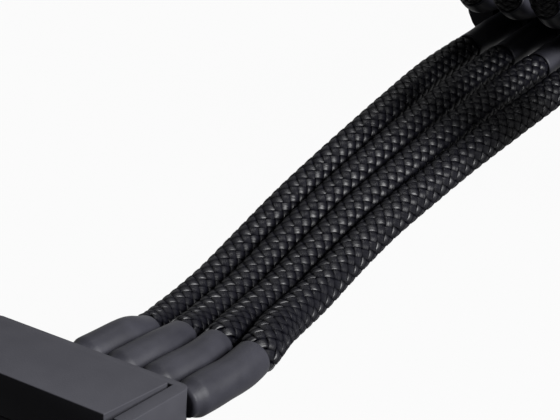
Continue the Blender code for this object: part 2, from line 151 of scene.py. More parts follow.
def calculate(tree: bpy.types.NodeTree, operation: str, *values: Any) -> bpy.types.NodeSocket:
    """Adds one step of arithmetic to a tree.

    Args:
        tree: The shader or geometry tree.
        operation: The name of the operation.
        *values: Numbers or sockets.

    Returns:
        The result's socket.
    """
    return add_node(tree, "ShaderNodeMath", dict(enumerate(values)), operation=operation).outputs[0]


def calculate_vector(
    tree: bpy.types.NodeTree, operation: str, inputs: dict[int | str, Any]
) -> bpy.types.NodeSocket:
    """Adds one step of arithmetic with vectors to a tree.

    Args:
        tree: The shader or geometry tree.
        operation: The name of the operation.
        inputs: For an input's name or number, its value or socket.

    Returns:
        The result's socket.
    """
    return add_node(tree, "ShaderNodeVectorMath", inputs, operation=operation).outputs[0]


def mix_tones(
    tree: bpy.types.NodeTree, share: bpy.types.NodeSocket, dark: str, light: str
) -> bpy.types.NodeSocket:
    """Adds a mix of two colours to a material's tree.

    Args:
        tree: The material's tree.
        share: The socket that says how much of the light colour shows.
        dark: The dark colour as sRGB hex.
        light: The light colour as sRGB hex.

    Returns:
        The mixed colour's socket.
    """
    return add_node(
        tree,
        "ShaderNodeMix",
        {"Factor": share, "A": colour(dark), "B": colour(light)},
        data_type="RGBA",
    ).outputs["Result"]


def store(
    tree: bpy.types.NodeTree,
    geometry: bpy.types.NodeSocket,
    name: str,
    value: bpy.types.NodeSocket,
    data_type: str = "FLOAT",
) -> bpy.types.NodeSocket:
    """Stores a named attribute on a geometry's points.

    Args:
        tree: The geometry tree.
        geometry: The geometry's socket.
        name: The attribute's name.
        value: The socket of its value.
        data_type: The kind of the value.

    Returns:
        The socket of the geometry with the attribute.
    """
    return add_node(
        tree,
        "GeometryNodeStoreNamedAttribute",
        {"Geometry": geometry, "Name": name, "Value": value},
        data_type=data_type,
        domain="POINT",
    ).outputs[0]


def new_material(name: str) -> bpy.types.Material:
    """Makes a material with an empty tree.

    Args:
        name: The material's name.

    Returns:
        The material.
    """
    material = bpy.data.materials.new(name)
    material.use_nodes = True
    material.node_tree.nodes.clear()
    return material


def new_object(name: str, mesh: bpy.types.Mesh) -> bpy.types.Object:
    """Links a new object that shows a mesh.

    Args:
        name: The piece's name.
        mesh: Its mesh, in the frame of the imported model.

    Returns:
        The linked object.
    """
    item = bpy.data.objects.new(name, mesh)
    bpy.context.scene.collection.objects.link(item)
    return item


def dress(item: bpy.types.Object, material: bpy.types.Material, slot: Slot, *nodes: str) -> None:
    """Gives a finished piece its material and its place in the object.

    Args:
        item: The piece.
        material: Its material.
        slot: The slot that it takes its finish from; not used.
        *nodes: The CAD nodes that it stands for.
    """
    item.data.materials.clear()
    item.data.materials.append(material)
    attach(item, "root")
    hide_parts(*nodes)
    LOG.info("%s: %d faces", item.name, len(item.data.polygons))


class Line:
    """A smooth line through close points, measured by its length."""

    def __init__(self, points: list[Vector]) -> None:
        """Measures the line.

        Args:
            points: Its points, in order.
        """
        self.points = points
        self.places = [0.0]
        for before, after in zip(points, points[1:]):
            self.places.append(self.places[-1] + (after - before).length)

    @property
    def length(self) -> float:
        """Whole length of the line."""
        return self.places[-1]

    def point(self, place: float) -> Vector:
        """Finds a point by its distance from the line's start.

        Args:
            place: The distance; beyond the ends the line runs on straight.

        Returns:
            The point.
        """
        index = 0
        while index < len(self.points) - 2 and self.places[index + 1] < place:
            index += 1
        share = (place - self.places[index]) / (self.places[index + 1] - self.places[index])
        return self.points[index].lerp(self.points[index + 1], share)

    def part(self, start: float, end: float, step: float) -> "Line":
        """Cuts a stretch out of the line.

        Args:
            start: Distance at which the stretch starts.
            end: Distance at which it ends; it may lie before the start, which turns the stretch.
            step: Distance between its points.

        Returns:
            The stretch as a line of its own.
        """
        spans = max(2, math.ceil(abs(end - start) / step))
        return Line([self.point(start + (end - start) * span / spans) for span in range(spans + 1)])

    def frames(self) -> list[tuple[Vector, Vector]]:
        """Works out an untwisted frame at each point.

        Returns:
            For each point, the two directions across the line.
        """
        last = len(self.points) - 1
        frames = []
        normal = Vector((0.0, 0.0, 1.0))
        for index in range(len(self.points)):
            before = self.points[max(index - 1, 0)]
            after = self.points[min(index + 1, last)]
            heading = (after - before).normalized()
            normal = (normal - heading * normal.dot(heading)).normalized()
            frames.append((normal, heading.cross(normal)))
        return frames


@dataclass(frozen=True)
class DriveSeat:
    """Where a drive connector leans on the ground on the rear edge of its nose."""

    x: float
    y: float
    yaw: float
    tilt: float = math.radians(12.2)
    height: float = 13.0 * MM
    nose_inset: float = 1.3 * MM

    def matrix(self) -> Matrix:
        """Frame of the connector: X along its contacts, wires leave along Y, top face at z = 0."""
        turn = Euler((-self.tilt, 0, self.yaw)).to_matrix().to_4x4()
        lift = self.height * math.cos(self.tilt) - self.nose_inset * math.sin(self.tilt)
        return Matrix.Translation((self.x, self.y, lift)) @ turn


@dataclass(frozen=True)
class RowRoute:
    """Route of one flat row of four wires, from inside the plug to a drive connector."""

    stations: list[Station]
    plug_height: float
    seat: DriveSeat
    wires: int = 4
    plug_end: float = -12.5 * MM
    insertion: float = 3.0 * MM
    plug_straight: float = 1.0 * MM
    plug_pitch: float = 5.08 * MM
    drive_pitch: float = 3.81 * MM
    wires_middle: float = 3.175 * MM
    wire_depth: float = 1.5 * MM
    exit_straight: float = 8.0 * MM
    exit_gap: float = 0.3 * MM
    samples: int = 240

    def places(self) -> list[tuple[Vector, float, float]]:
        """Lists the route's places, with those at its connectors.

        Returns:
            For each place, its middle, its pitch and its bank.
        """
        places = []
        for distance in (self.insertion, 0.0, -self.plug_straight):
            middle = Vector((0, self.plug_end + distance, self.plug_height))
            places.append((middle, self.plug_pitch, 0.0))
        for station in self.stations:
            middle = Vector(station[:3]) * MM
            places.append((middle, station.pitch * MM, math.radians(station.bank)))
        for distance in (self.exit_straight, self.exit_gap):
            local = Vector((self.wires_middle, distance, -self.wire_depth))
            places.append((self.seat.matrix() @ local, self.drive_pitch, 0.0))
        return places

    def blend(self, values: list[Any], places: list[float], place: float) -> Any:
        """Blends four values smoothly at a place between the second and the third.

        Args:
            values: Four numbers or vectors.
            places: Their distances along the route.
            place: The distance asked for.

        Returns:
            The blended number or vector.
        """
        first, second, third, fourth = values
        span = places[2] - places[1]
        share = (place - places[1]) / span
        slope_in = (third - first) * (span / (places[2] - places[0]))
        slope_out = (fourth - second) * (span / (places[3] - places[1]))
        square = share * share
        cube = square * share
        return (
            second * (2 * cube - 3 * square + 1)
            + slope_in * (cube - 2 * square + share)
            + third * (3 * square - 2 * cube)
            + slope_out * (cube - square)
        )

    def lines(self) -> list[Line]:
        """Works out the middle line of each wire.

        Returns:
            One line for each wire, wire 1 first.
        """
        places = self.places()
        padded = [places[0]] + places + [places[-1]]
        distances = Line([place[0] for place in padded]).places
        samples = []
        span = 1
        for index in range(self.samples + 1):
            distance = distances[-1] * index / self.samples
            while span < len(places) - 1 and distances[span + 1] < distance:
                span += 1
            near = slice(span - 1, span + 3)
            samples.append([
                self.blend([place[part] for place in padded[near]], distances[near], distance)
                for part in range(3)
            ])
        wires: list[list[Vector]] = [[] for _ in range(self.wires)]
        for index, (middle, pitch, bank) in enumerate(samples):
            before = samples[max(index - 1, 0)][0]
            after = samples[min(index + 1, self.samples)][0]
            heading = (after - before).normalized()
            level = Vector((0, 0, 1)).cross(heading).normalized()
            across = level * math.cos(bank) - heading.cross(level) * math.sin(bank)
            for number, wire in enumerate(wires):
                wire.append(middle + across * pitch * (number - (self.wires - 1) / 2))
        return [Line(points) for points in wires]


@dataclass(frozen=True)
class WovenNylon:
    """Nylon filament yarn, dyed black and woven tight: dark, with a silky gleam on each crown. The
    base colour has painted shade where a strand dips under its neighbours.
    """

    dark: str = "#010102"
    light: str = "#07070a"
    roughness: float = 0.43
    gloss: float = 0.115
    edge_fall: float = 1.5
    grain_turn: float = 0.25
    grain: float = 0.70
    # Painted shade: the share of the light tone, and of the gloss, left where a strand dips under.
    tucked_shade_share: float = 0.03
    full_shade_lift: float = -0.5
    no_shade_lift: float = 0.9
    filament_width: float = 0.22 * MM
    filament_rate: float = 0.9 / MM
    filament_detail: float = 2.0
    strand_spacing: float = 7.3
    relief: float = 0.11 * MM
    relief_strength: float = 0.9

    def material(self) -> bpy.types.Material:
        """Builds the material.

        Returns:
            The material, which reads the strands' own attributes.
        """
        material = new_material("black_nylon_yarn_woven")
        tree = material.node_tree
        along, across, strand, lift = (
            add_node(tree, "ShaderNodeAttribute", attribute_name=name).outputs["Fac"]
            for name in ("strand_along", "strand_across", "strand_number", "strand_lift")
        )
        direction = add_node(tree, "ShaderNodeAttribute", attribute_name="strand_direction")
        place = add_node(
            tree,
            "ShaderNodeCombineXYZ",
            {
                "X": calculate(tree, "MULTIPLY", across, 1 / self.filament_width),
                "Y": calculate(tree, "MULTIPLY", along, self.filament_rate),
                "Z": calculate(tree, "MULTIPLY", strand, self.strand_spacing),
            },
        )
        filaments = add_node(
            tree,
            "ShaderNodeTexNoise",
            {"Vector": place.outputs[0], "Scale": 1.0, "Detail": self.filament_detail},
        ).outputs["Fac"]
        # Painted shade in the weave's crevices: colour and gloss fall towards the places where a
        # strand dips under its neighbours.
        crevice_shade_factor = add_node(
            tree,
            "ShaderNodeMapRange",
            {
                "Value": lift,
                "From Min": self.full_shade_lift,
                "From Max": self.no_shade_lift,
                "To Min": self.tucked_shade_share,
            },
            interpolation_type="SMOOTHSTEP",
        ).outputs[0]
        # Filament grain times the painted crevice shade sets how much of the light tone shows.
        shown = calculate(tree, "MULTIPLY", filaments, crevice_shade_factor)
        edge_on = add_node(tree, "ShaderNodeLayerWeight", {"Blend": 0.5}).outputs["Facing"]
        face_on = calculate(tree, "SUBTRACT", 1.0, edge_on)
        unshaded = calculate(tree, "POWER", face_on, self.edge_fall)
        crown_shine = calculate(tree, "MULTIPLY", crevice_shade_factor, self.gloss)
        bump = add_node(
            tree,
            "ShaderNodeBump",
            {"Height": filaments, "Distance": self.relief, "Strength": self.relief_strength},
        )
        shader = add_node(
            tree,
            "ShaderNodeBsdfPrincipled",
            {
                "Base Color": mix_tones(tree, shown, self.dark, self.light),
                "Roughness": self.roughness,
                "Normal": bump.outputs[0],
                "Specular IOR Level": calculate(tree, "MULTIPLY", crown_shine, unshaded),
                "Anisotropic": self.grain,
                "Anisotropic Rotation": self.grain_turn,
                "Tangent": direction.outputs["Vector"],
            },
        )
        add_node(tree, "ShaderNodeOutputMaterial", {"Surface": shader.outputs[0]})
        return material


@dataclass(frozen=True)
class MattPlastic:
    """Plain plastic with soft clouds of two tones and a fine grain."""

    name: str
    dark: str
    light: str
    roughness: float
    roughness_spread: float
    gloss: float
    cloud_size: float
    cloud_detail: float
    grain_size: float
    relief_strength: float
    relief: float = 0.02 * MM
    grain_detail: float = 2.0

    def material(self) -> bpy.types.Material:
        """Builds the material on Object coordinates.

        Returns:
            The material.
        """
        material = new_material(self.name)
        tree = material.node_tree
        place = add_node(tree, "ShaderNodeTexCoord").outputs["Object"]
        clouds = add_node(
            tree,
            "ShaderNodeTexNoise",
            {"Vector": place, "Scale": 1 / self.cloud_size, "Detail": self.cloud_detail},
        ).outputs["Fac"]
        grain = add_node(
            tree,
            "ShaderNodeTexNoise",
            {"Vector": place, "Scale": 1 / self.grain_size, "Detail": self.grain_detail},
        ).outputs["Fac"]
        rough = add_node(
            tree,
            "ShaderNodeMapRange",
            {
                "Value": clouds,
                "To Min": self.roughness - self.roughness_spread,
                "To Max": self.roughness + self.roughness_spread,
            },
        )
        bump = add_node(
            tree,
            "ShaderNodeBump",
            {"Height": grain, "Distance": self.relief, "Strength": self.relief_strength},
        )
        shader = add_node(
            tree,
            "ShaderNodeBsdfPrincipled",
            {
                "Base Color": mix_tones(tree, clouds, self.dark, self.light),
                "Roughness": rough.outputs[0],
                "Normal": bump.outputs[0],
                "Specular IOR Level": self.gloss,
            },
        )
        add_node(tree, "ShaderNodeOutputMaterial", {"Surface": shader.outputs[0]})
        return material


@dataclass(frozen=True)
class ShrunkPolyolefin(MattPlastic):
    """Polyolefin tube shrunk over a braid by heat: soft matt black, a little uneven."""

    name: str = "black_polyolefin_shrunk"
    dark: str = "#07070a"
    light: str = "#17171b"
    roughness: float = 0.52
    roughness_spread: float = 0.08
    gloss: float = 0.05
    cloud_size: float = 2.6 * MM
    cloud_detail: float = 4.0
    grain_size: float = 0.18 * MM
    relief_strength: float = 0.6


@dataclass(frozen=True)
class MouldedNylon(MattPlastic):
    """Glass-filled nylon from a spark-eroded mould: black with a fine satin grain."""

    name: str = "black_nylon_moulded"
    dark: str = "#19191c"
    light: str = "#1e1e21"
    roughness: float = 0.58
    roughness_spread: float = 0.0
    gloss: float = 0.02
    cloud_size: float = 2.5 * MM
    cloud_detail: float = 3.0
    grain_size: float = 0.16 * MM
    relief_strength: float = 0.5


@dataclass(frozen=True)
class TinnedBrass:
    """Brass strip with a bright tin plating: pale grey metal with faint draw lines."""

    bright: str = "#c9c6bd"
    dull: str = "#a8a498"
    roughness: float = 0.28
    roughness_spread: float = 0.15
    streak_size: float = 0.5 * MM
    streak_detail: float = 3.0
    streak_squeeze: float = 0.15

    def material(self) -> bpy.types.Material:
        """Builds the material on Object coordinates.

        Returns:
            The material.
        """
        material = new_material("brass_tin_plated")
        tree = material.node_tree
        place = add_node(tree, "ShaderNodeTexCoord").outputs["Object"]
        stretched = add_node(
            tree, "ShaderNodeMapping", {"Vector": place, "Scale": (1.0, 1.0, self.streak_squeeze)}
        )
        streaks = add_node(
            tree,
            "ShaderNodeTexNoise",
            {
                "Vector": stretched.outputs[0],
                "Scale": 1 / self.streak_size,
                "Detail": self.streak_detail,
            },
        ).outputs["Fac"]
        rough = add_node(
            tree,
            "ShaderNodeMapRange",
            {
                "Value": streaks,
                "To Min": self.roughness,
                "To Max": self.roughness + self.roughness_spread,
            },
        )
        shader = add_node(
            tree,
            "ShaderNodeBsdfPrincipled",
            {
                "Base Color": mix_tones(tree, streaks, self.dull, self.bright),
                "Roughness": rough.outputs[0],
                "Metallic": 1.0,
            },
        )
        add_node(tree, "ShaderNodeOutputMaterial", {"Surface": shader.outputs[0]})
        return material


@dataclass(frozen=True)
class Braid:
    """Diamond braid of flat yarns, one over and one under, woven round a wire."""

    carriers: int = 8
    radius: float = 1.67 * MM
    squeezed_radius: float = 1.32 * MM
    squeeze_length: float = 1.3 * MM
    rise: float = 0.075 * MM
    lay_length: float = 13.3 * MM
    strand_width: float = 1.00 * MM
    strand_thickness: float = 0.27 * MM
    crown_growth: float = 0.06
    core_radius: float = 1.22 * MM
    steps_per_crossing: int = 4
    profile_points: int = 8
    flatness: float = 0.35
    core_points: int = 12
    wander: float = 0.05 * MM
    sway: float = 0.025
    drift_rate: float = 0.6 / MM
    strand_spacing: float = 5.7
    seed_spacing: float = 3.1
    seed_turn: float = 0.37
    tuck: float = 3.0 * MM

    @property
    def outer_diameter(self) -> float:
        """Diameter over the crowns of the yarns."""
        return 2 * (self.radius + self.rise + self.strand_thickness / 2)

    def drift(
        self,
        tree: bpy.types.NodeTree,
        along: bpy.types.NodeSocket,
        number: bpy.types.NodeSocket,
        seed: bpy.types.NodeSocket,
        hand: Hand,
    ) -> bpy.types.NodeSocket:
        """Adds the slow unevenness of a strand.

        Args:
            tree: The geometry tree.
            along: The place along the wire.
            number: The strand's number.
            seed: The number that sets how the strands wander.
            hand: The way that the strands turn.

        Returns:
            The socket of a value about zero, at most a half.
        """
        place = add_node(
            tree,
            "ShaderNodeCombineXYZ",
            {
                "X": calculate(tree, "MULTIPLY", along, self.drift_rate),
                "Y": calculate(tree, "MULTIPLY_ADD", number, self.strand_spacing, hand.value),
                "Z": seed,
            },
        )
        noise = add_node(
            tree, "ShaderNodeTexNoise", {"Vector": place.outputs[0], "Scale": 1.0, "Detail": 1.0}
        )
        return calculate(tree, "SUBTRACT", noise.outputs["Fac"], 0.5)

    def profile(
        self, tree: bpy.types.NodeTree, width: bpy.types.NodeSocket, thickness: bpy.types.NodeSocket
    ) -> bpy.types.NodeSocket:
        """Draws a strand's section: a circle pressed flat at its crown and its back.

        Args:
            tree: The geometry tree.
            width: The strand's width.
            thickness: The strand's thickness.

        Returns:
            The socket of the section's curve.
        """
        half = 0.5
        circle = add_node(
            tree,
            "GeometryNodeCurvePrimitiveCircle",
            {"Resolution": self.profile_points, "Radius": half},
            mode="RADIUS",
        )
        spot = add_node(tree, "GeometryNodeInputPosition")
        parts = add_node(tree, "ShaderNodeSeparateXYZ", {0: spot.outputs[0]}).outputs
        across = calculate(tree, "MULTIPLY", parts["Y"], width)
        marked = store(tree, circle.outputs[0], "strand_across", across)
        height = calculate(tree, "POWER", calculate(tree, "ABSOLUTE", parts["X"]), self.flatness)
        signed = calculate(tree, "MULTIPLY", height, calculate(tree, "SIGN", parts["X"]))
        pressed = calculate(tree, "MULTIPLY", signed, half ** (1 - self.flatness))
        flat = add_node(tree, "ShaderNodeCombineXYZ", {"X": pressed, "Y": parts["Y"]})
        squared = add_node(
            tree, "GeometryNodeSetPosition", {"Geometry": marked, "Position": flat.outputs[0]}
        )
        scale = add_node(tree, "ShaderNodeCombineXYZ", {"X": thickness, "Y": width, "Z": 1.0})
        return add_node(
            tree,
            "GeometryNodeTransform",
            {"Geometry": squared.outputs[0], "Scale": scale.outputs[0]},
        ).outputs[0]

    def strands(
        self,
        tree: bpy.types.NodeTree,
        sizes: bpy.types.Node,
        middle: bpy.types.NodeSocket,
        hand: Hand,
    ) -> bpy.types.NodeSocket:
        """Weaves the strands that turn one way.

        Args:
            tree: The geometry tree.
            sizes: The tree's input node.
            middle: The wire's middle line, as a curve.
            hand: The way that the strands turn.

        Returns:
            The socket of the strands' mesh.
        """
        given = sizes.outputs
        straight = add_node(tree, "GeometryNodeCurvePrimitiveLine")
        fine = add_node(
            tree,
            "GeometryNodeResampleCurve",
            {"Curve": straight.outputs[0], "Count": given["Steps"]},
        )
        copies = add_node(
            tree,
            "GeometryNodeDuplicateElements",
            {"Geometry": fine.outputs[0], "Amount": given["Carriers"]},
            domain="SPLINE",
        )
        number = copies.outputs["Duplicate Index"]
        share = add_node(tree, "GeometryNodeSplineParameter").outputs["Factor"]
        length = add_node(tree, "GeometryNodeCurveLength", {"Curve": middle}).outputs[0]
        along = calculate(tree, "MULTIPLY", share, length)
        drift = self.drift(tree, along, number, given["Seed"], hand)

        turns = calculate(tree, "DIVIDE", along, given["Lay Length"])
        carrier = calculate(tree, "DIVIDE", number, given["Carriers"])
        started = calculate(tree, "MULTIPLY_ADD", drift, given["Sway"], carrier)
        placed = calculate(tree, "MULTIPLY_ADD", given["Seed"], self.seed_turn, started)
        turned = calculate(tree, "MULTIPLY_ADD", turns, hand.value, placed)
        angle = calculate(tree, "MULTIPLY", turned, math.tau)
        crossings = calculate(tree, "MULTIPLY", turns, given["Carriers"])
        phase = calculate(tree, "MULTIPLY", crossings, math.tau)
        wave = calculate(tree, "MULTIPLY", calculate(tree, "COSINE", phase), hand.value)

        to_far_end = calculate(tree, "SUBTRACT", length, along)
        from_end = calculate(tree, "MINIMUM", along, to_far_end)
        swell = add_node(
            tree,
            "ShaderNodeMapRange",
            {
                "Value": calculate(tree, "SUBTRACT", from_end, given["Tuck"]),
                "From Max": given["Squeeze Length"],
                "To Min": given["Squeezed Radius"],
                "To Max": given["Radius"],
            },
            interpolation_type="SMOOTHSTEP",
        )
        lifted = calculate(tree, "MULTIPLY_ADD", wave, given["Rise"], swell.outputs[0])
        outward = calculate(tree, "MULTIPLY", drift, given["Wander"])
        reach = calculate(tree, "ADD", lifted, outward)

        sample = add_node(
            tree, "GeometryNodeSampleCurve", {"Curves": middle, "Factor": share}, mode="FACTOR"
        ).outputs
        other = calculate_vector(tree, "CROSS_PRODUCT", {0: sample["Tangent"], 1: sample["Normal"]})
        cosine = calculate(tree, "COSINE", angle)
        sine = calculate(tree, "SINE", angle)
        first = calculate_vector(tree, "SCALE", {0: sample["Normal"], "Scale": cosine})
        second = calculate_vector(tree, "SCALE", {0: other, "Scale": sine})
        radial = calculate_vector(tree, "ADD", {0: first, 1: second})
        offset = calculate_vector(tree, "SCALE", {0: radial, "Scale": reach})
        place = calculate_vector(tree, "ADD", {0: sample["Position"], 1: offset})

        own_number = calculate(tree, "MULTIPLY_ADD", number, float(len(Hand)), hand.value)
        known = store(tree, copies.outputs[0], "strand_along", along)
        known = store(tree, known, "strand_number", own_number)
        known = store(tree, known, "strand_lift", wave)
        turned_out = add_node(
            tree, "GeometryNodeSetCurveNormal", {"Curve": known, "Normal": radial}, mode="FREE"
        )
        growth = calculate(tree, "MULTIPLY_ADD", wave, given["Crown Growth"], 1.0)
        grown = add_node(
            tree, "GeometryNodeSetCurveRadius", {"Curve": turned_out.outputs[0], "Radius": growth}
        )
        woven = add_node(
            tree, "GeometryNodeSetPosition", {"Geometry": grown.outputs[0], "Position": place}
        )
        tangent = add_node(tree, "GeometryNodeInputTangent").outputs[0]
        directed = store(tree, woven.outputs[0], "strand_direction", tangent, "FLOAT_VECTOR")
        section = self.profile(tree, given["Strand Width"], given["Strand Thickness"])
        return add_node(
            tree,
            "GeometryNodeCurveToMesh",
            {"Curve": directed, "Profile Curve": section, "Fill Caps": True},
        ).outputs[0]

    def tree(self) -> bpy.types.NodeTree:
        """Builds the tree that weaves a sleeve and fills it with its wire.

        Returns:
            The tree.
        """
        tree = bpy.data.node_groups.new("woven_sleeve", "GeometryNodeTree")
        kinds = {
            "Middle Line": "Geometry",
            "Material": "Material",
            "Carriers": "Int",
            "Steps": "Int",
            **{name: "Float" for name in self.values(0)},
        }
        for name, kind in kinds.items():
            tree.interface.new_socket(name=name, in_out="INPUT", socket_type=f"NodeSocket{kind}")
        tree.interface.new_socket(name="Mesh", in_out="OUTPUT", socket_type="NodeSocketGeometry")

        sizes = add_node(tree, "NodeGroupInput")
        middle = add_node(tree, "GeometryNodeMeshToCurve", {"Mesh": sizes.outputs["Middle Line"]})
        core_profile = add_node(
            tree,
            "GeometryNodeCurvePrimitiveCircle",
            {"Resolution": self.core_points, "Radius": sizes.outputs["Core Radius"]},
            mode="RADIUS",
        )
        core = add_node(
            tree,
            "GeometryNodeCurveToMesh",
            {
                "Curve": middle.outputs[0],
                "Profile Curve": core_profile.outputs[0],
                "Fill Caps": True,
            },
        )
        joined = add_node(tree, "GeometryNodeJoinGeometry")
        tree.links.new(core.outputs[0], joined.inputs[0])
        for hand in Hand:
            tree.links.new(self.strands(tree, sizes, middle.outputs[0], hand), joined.inputs[0])
        smooth = add_node(tree, "GeometryNodeSetShadeSmooth", {"Geometry": joined.outputs[0]})
        real = add_node(tree, "GeometryNodeRealizeInstances", {"Geometry": smooth.outputs[0]})
        dressed = add_node(
            tree,
            "GeometryNodeSetMaterial",
            {"Geometry": real.outputs[0], "Material": sizes.outputs["Material"]},
        )
        add_node(tree, "NodeGroupOutput", {"Mesh": dressed.outputs[0]})
        return tree

    def values(self, seed: int) -> dict[str, float]:
        """Lists the tree's sizes by the names of its inputs.

        Args:
            seed: The number that sets how the strands wander.

        Returns:
            The sizes.
        """
        return {
            "Radius": self.radius,
            "Squeezed Radius": self.squeezed_radius,
            "Squeeze Length": self.squeeze_length,
            "Tuck": self.tuck,
            "Rise": self.rise,
            "Lay Length": self.lay_length,
            "Strand Width": self.strand_width,
            "Strand Thickness": self.strand_thickness,
            "Crown Growth": self.crown_growth,
            "Core Radius": self.core_radius,
            "Wander": self.wander,
            "Sway": self.sway,
            "Seed": seed * self.seed_spacing,
        }

    def weave(
        self,
        name: str,
        line: Line,
        tree: bpy.types.NodeTree,
        material: bpy.types.Material,
        seed: int,
    ) -> bpy.types.Object:
        """Weaves one sleeve along a line.

        Args:
            name: The piece's name.
            line: The wire's middle line, from one heat-shrink to the other.
            tree: The tree that weaves.
            material: The yarn's material.
            seed: The number that sets how the strands wander.

        Returns:
            The sleeve as a plain mesh.
        """
        mesh = bpy.data.meshes.new(f"{name}_line")
        edges = [(index, index + 1) for index in range(len(line.points) - 1)]
        mesh.from_pydata(line.points, edges, [])
        carrier = new_object(f"{name}_carrier", mesh)
        # The two hands turn against each other, so a strand meets every carrier twice a turn.
        crossings = 2 * self.carriers * line.length / self.lay_length
        modifier = carrier.modifiers.new("weave", "NODES")
        modifier.node_group = tree
        given: dict[str, Any] = {
            "Material": material,
            "Carriers": self.carriers,
            "Steps": round(crossings * self.steps_per_crossing) + 1,
            **self.values(seed),
        }
        for socket in tree.interface.items_tree:
            if socket.in_out == "INPUT" and socket.name in given:
                modifier[socket.identifier] = given[socket.name]
        graph = bpy.context.evaluated_depsgraph_get()
        woven = bpy.data.meshes.new_from_object(carrier.evaluated_get(graph))
        bpy.data.objects.remove(carrier)
        return new_object(name, woven)


@dataclass(frozen=True)
class HeatShrink:
    """Short tube shrunk over a sleeve's cut end, with a soft step where the sleeve stops inside."""

    radius: float = 1.74 * MM
    wall: float = 0.26 * MM
    neck_radius: float = 1.38 * MM
    neck_length: float = 1.1 * MM
    end_round: float = 0.4 * MM
    mouth_depth: float = 1.2 * MM
    lip: float = 0.10 * MM
    lip_ease: float = 0.02 * MM
    lip_share: float = 0.7
    round_steps: int = 5
    sides: int = 40
    step: float = 0.25 * MM
    lump: float = 0.06 * MM
    lump_counts: tuple[int, ...] = (1, 2, 3)
    lump_rates: tuple[float, float] = (0.5, 1.4)
    sharp_angle: float = math.radians(50)

    def profile(self, length: float) -> list[tuple[float, float]]:
        """Draws the tube's section from its mouth to its far end.

        Args:
            length: The tube's length.

        Returns:
            Distance from the mouth and radius, from the closed bottom of the mouth round the lip.
        """
        inner = self.radius - self.wall
        eased_lip = self.lip * self.lip_share
        points = [
            (self.mouth_depth, inner),
            (self.lip, inner),
            (self.lip_ease, inner + eased_lip),
            (0.0, (inner + self.radius) / 2),
            (self.lip_ease, self.radius - eased_lip),
            (self.lip, self.radius),
        ]
        round_start = length - self.end_round
        neck_start = round_start - self.neck_length
        spans = round((round_start - self.lip) / self.step)
        for span in range(1, spans + 1):
            place = self.lip + (round_start - self.lip) * span / spans
            share = min(1.0, max(0.0, (place - neck_start) / self.neck_length))
            eased = share * share * (3 - 2 * share)
            points.append((place, self.radius + (self.neck_radius - self.radius) * eased))
        for turn in range(1, self.round_steps + 1):
            angle = math.pi / 2 * turn / self.round_steps
            reach = self.neck_radius - self.end_round * (1 - math.cos(angle))
            points.append((round_start + self.end_round * math.sin(angle), reach))
        return points

    def build(self, name: str, line: Line, seed: int) -> bpy.types.Object:
        """Lofts the tube along a line.

        Args:
            name: The piece's name.
            line: The wire's middle line, from the tube's mouth to its far end.
            seed: The number that sets its unevenness.

        Returns:
            The closed tube.
        """
        dice = random.Random(seed)
        waves = [
            (count, dice.uniform(0, math.tau), dice.uniform(*self.lump_rates) / MM)
            for count in self.lump_counts
        ]
        shape = bmesh.new()
        rings = []
        frames = line.part(0.0, line.length, self.step).frames()
        for place, radius in self.profile(line.length):
            index = min(round(place / line.length * (len(frames) - 1)), len(frames) - 1)
            normal, other = frames[index]
            centre = line.point(place)
            ring = []
            for side in range(self.sides):
                angle = math.tau * side / self.sides
                lump = sum(
                    math.sin(count * angle + start + place * rate) for count, start, rate in waves
                )
                reach = radius + self.lump * lump / len(waves)
                outward = normal * math.cos(angle) + other * math.sin(angle)
                ring.append(shape.verts.new(centre + outward * reach))
            rings.append(ring)
        for before, after in zip(rings, rings[1:]):
            for side in range(self.sides):
                following = (side + 1) % self.sides
                shape.faces.new((before[side], before[following], after[following], after[side]))
        shape.faces.new(rings[0])
        shape.faces.new(rings[-1])
        bmesh.ops.recalc_face_normals(shape, faces=shape.faces)
        mesh = bpy.data.meshes.new(name)
        shape.to_mesh(mesh)
        shape.free()
        mesh.shade_smooth()
        mesh.set_sharp_from_angle(angle=self.sharp_angle)
        return new_object(name, mesh)


@dataclass(frozen=True)
class Row:
    """Flat row of four sleeved wires with heat-shrink at both ends."""

    name: str
    route: RowRoute
    braid: Braid = field(default_factory=Braid)
    shrink: HeatShrink = field(default_factory=HeatShrink)
    plug_shrink_length: float = 9.8 * MM
    drive_shrink_length: float = 9.0 * MM
    drive_reach: float = 0.8 * MM
    line_step: float = 0.5 * MM

    def build(
        self,
        tree: bpy.types.NodeTree,
        yarn: bpy.types.Material,
        film: bpy.types.Material,
        seed: int,
    ) -> None:
        """Builds the row's sleeves and heat-shrinks.

        Args:
            tree: The tree that weaves a sleeve.
            yarn: Material of the sleeves.
            film: Material of the heat-shrinks.
            seed: The number that sets the unevenness of this row.
        """
        for number, line in enumerate(self.route.lines(), 1):
            near_mouth = self.route.insertion + self.plug_shrink_length
            far_mouth = line.length - self.drive_shrink_length
            far_end = line.length + self.drive_reach
            for place, mouth, end in (("plug", near_mouth, 0.0), ("drive", far_mouth, far_end)):
                tube = line.part(mouth, end, self.line_step)
                item = self.shrink.build(f"{self.name}_{place}_tube_{number}", tube, seed + number)
                dress(item, film, Slot.SHRINK, f"{self.name}_{place}_shrink_{number}")
            start = near_mouth - self.braid.tuck
            sleeve_line = line.part(start, far_mouth + self.braid.tuck, self.line_step)
            sleeve = self.braid.weave(
                f"{self.name}_sleeve_{number}", sleeve_line, tree, yarn, seed + number
            )
            dress(sleeve, yarn, Slot.BRAID, f"{self.name}_sleeved_wire_{number}")
            line.point(self.route.insertion)


